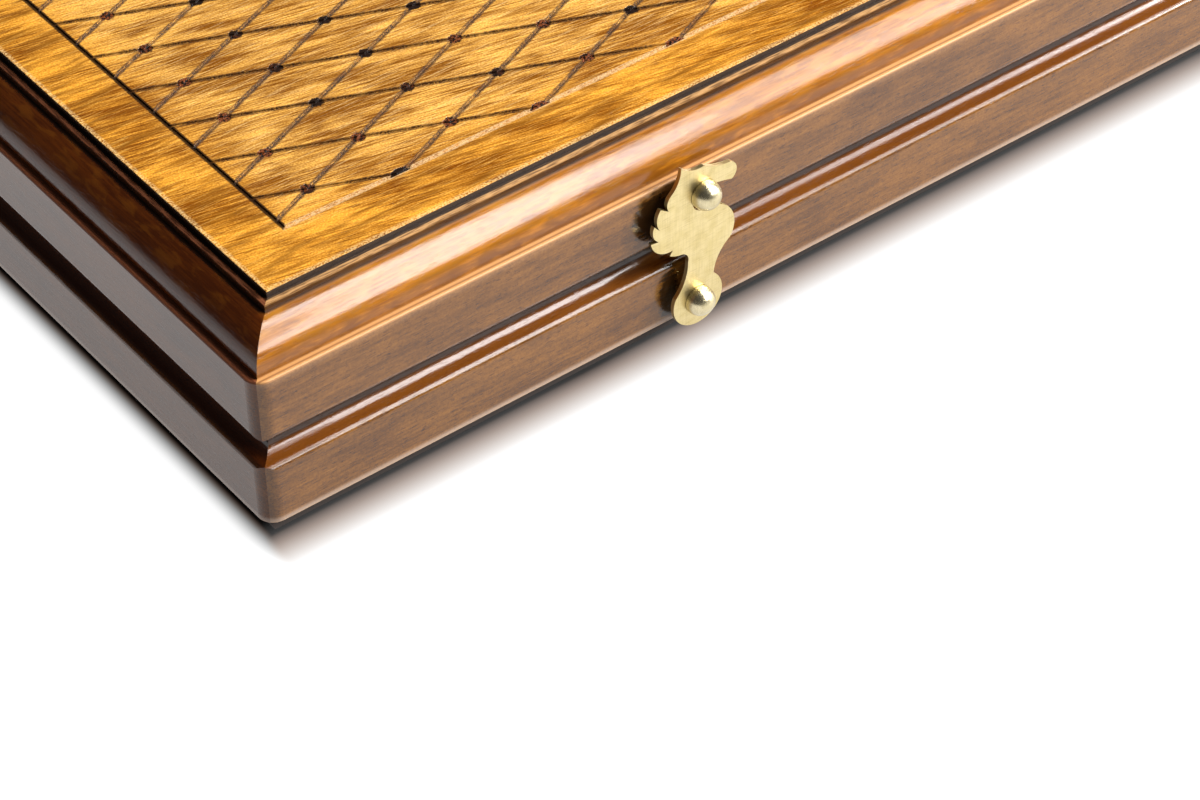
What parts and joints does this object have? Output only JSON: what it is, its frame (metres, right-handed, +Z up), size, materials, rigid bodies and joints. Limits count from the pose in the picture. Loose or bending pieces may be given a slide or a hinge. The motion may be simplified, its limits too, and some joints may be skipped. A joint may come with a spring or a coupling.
{
  "type": "folding backgammon board",
  "caption": "Closed folding backgammon board: shallow glossy wooden trays hinged along the back, with hook latches, a burnt lattice on the lid, inlaid points, checkers and dice inside.",
  "frame": {"origin": "middle of the flat face of the base's outer panel, on which the closed board lies", "axes": "+X along the long sides, to the right seen from the hooks; +Y from the hooks to the hinges; +Z up through the lid"},
  "size_m": [0.5, 0.2599, 0.06],
  "materials": {
    "rail_wood": "stained and lacquered, high gloss",
    "panel_wood": "lacquered, high gloss, with burnt lines",
    "field_wood": "lacquered, gloss",
    "dark_inlay": "lacquered, gloss",
    "light_inlay": "lacquered, gloss",
    "hook_brass": "satin with fine scratches",
    "pin_brass": "polished",
    "hinge_brass": "satin",
    "light_checker": "turned, lacquered",
    "dark_checker": "turned, stained and lacquered",
    "dice": "ivory white with dark pips"
  },
  "bodies": {
    "base": {"base_back_rail": "rail_wood", "base_dark_points": "dark_inlay", "base_field": "field_wood", "base_front_rail": "rail_wood", "base_hinge_screws": "hinge_brass", "base_left_rail": "rail_wood", "base_light_points": "light_inlay", "base_panel": "panel_wood", "base_right_rail": "rail_wood", "left_hinge_base_leaf": "hinge_brass", "left_hinge_pin": "hinge_brass", "left_hook_pivot": "pin_brass", "right_hinge_base_leaf": "hinge_brass", "right_hinge_pin": "hinge_brass", "right_hook_pivot": "pin_brass"},
    "lid": {"left_catch_pin": "pin_brass", "left_hinge_lid_leaf": "hinge_brass", "lid_back_rail": "rail_wood", "lid_dark_points": "dark_inlay", "lid_field": "field_wood", "lid_front_rail": "rail_wood", "lid_hinge_screws": "hinge_brass", "lid_left_rail": "rail_wood", "lid_light_points": "light_inlay", "lid_panel": "panel_wood", "lid_right_rail": "rail_wood", "right_catch_pin": "pin_brass", "right_hinge_lid_leaf": "hinge_brass"},
    "left_hook": {"left_hook": "hook_brass"},
    "right_hook": {"right_hook": "hook_brass"},
    "light_checkers": {"light_checkers": "light_checker"},
    "dark_checkers": {"dark_checkers": "dark_checker"},
    "dice": {"first_die": "dice", "second_die": "dice"}
  },
  "joints": [
    {"name": "lid_hinge", "type": "hinge", "parent": "base", "child": "lid", "pos_m": [0, 0.12525, 0.03], "axis": [-1, 0, 0], "range_deg": [0, 180]},
    {"name": "left_hook_swing", "type": "hinge", "parent": "base", "child": "left_hook", "pos_m": [-0.14175, -0.125, 0.0167], "axis": [0, -1, 0], "range_deg": [0, 95]},
    {"name": "right_hook_swing", "type": "hinge", "parent": "base", "child": "right_hook", "pos_m": [0.14025, -0.125, 0.0167], "axis": [0, -1, 0], "range_deg": [0, 95]},
    {"name": "light_checkers_lift", "type": "slide", "parent": "base", "child": "light_checkers", "axis": [0, 0, 1], "range_m": [0, 0.027]},
    {"name": "dark_checkers_lift", "type": "slide", "parent": "base", "child": "dark_checkers", "axis": [0, 0, 1], "range_m": [0, 0.027]},
    {"name": "dice_lift", "type": "slide", "parent": "base", "child": "dice", "axis": [0, 0, 1], "range_m": [0, 0.027]}
  ]
}
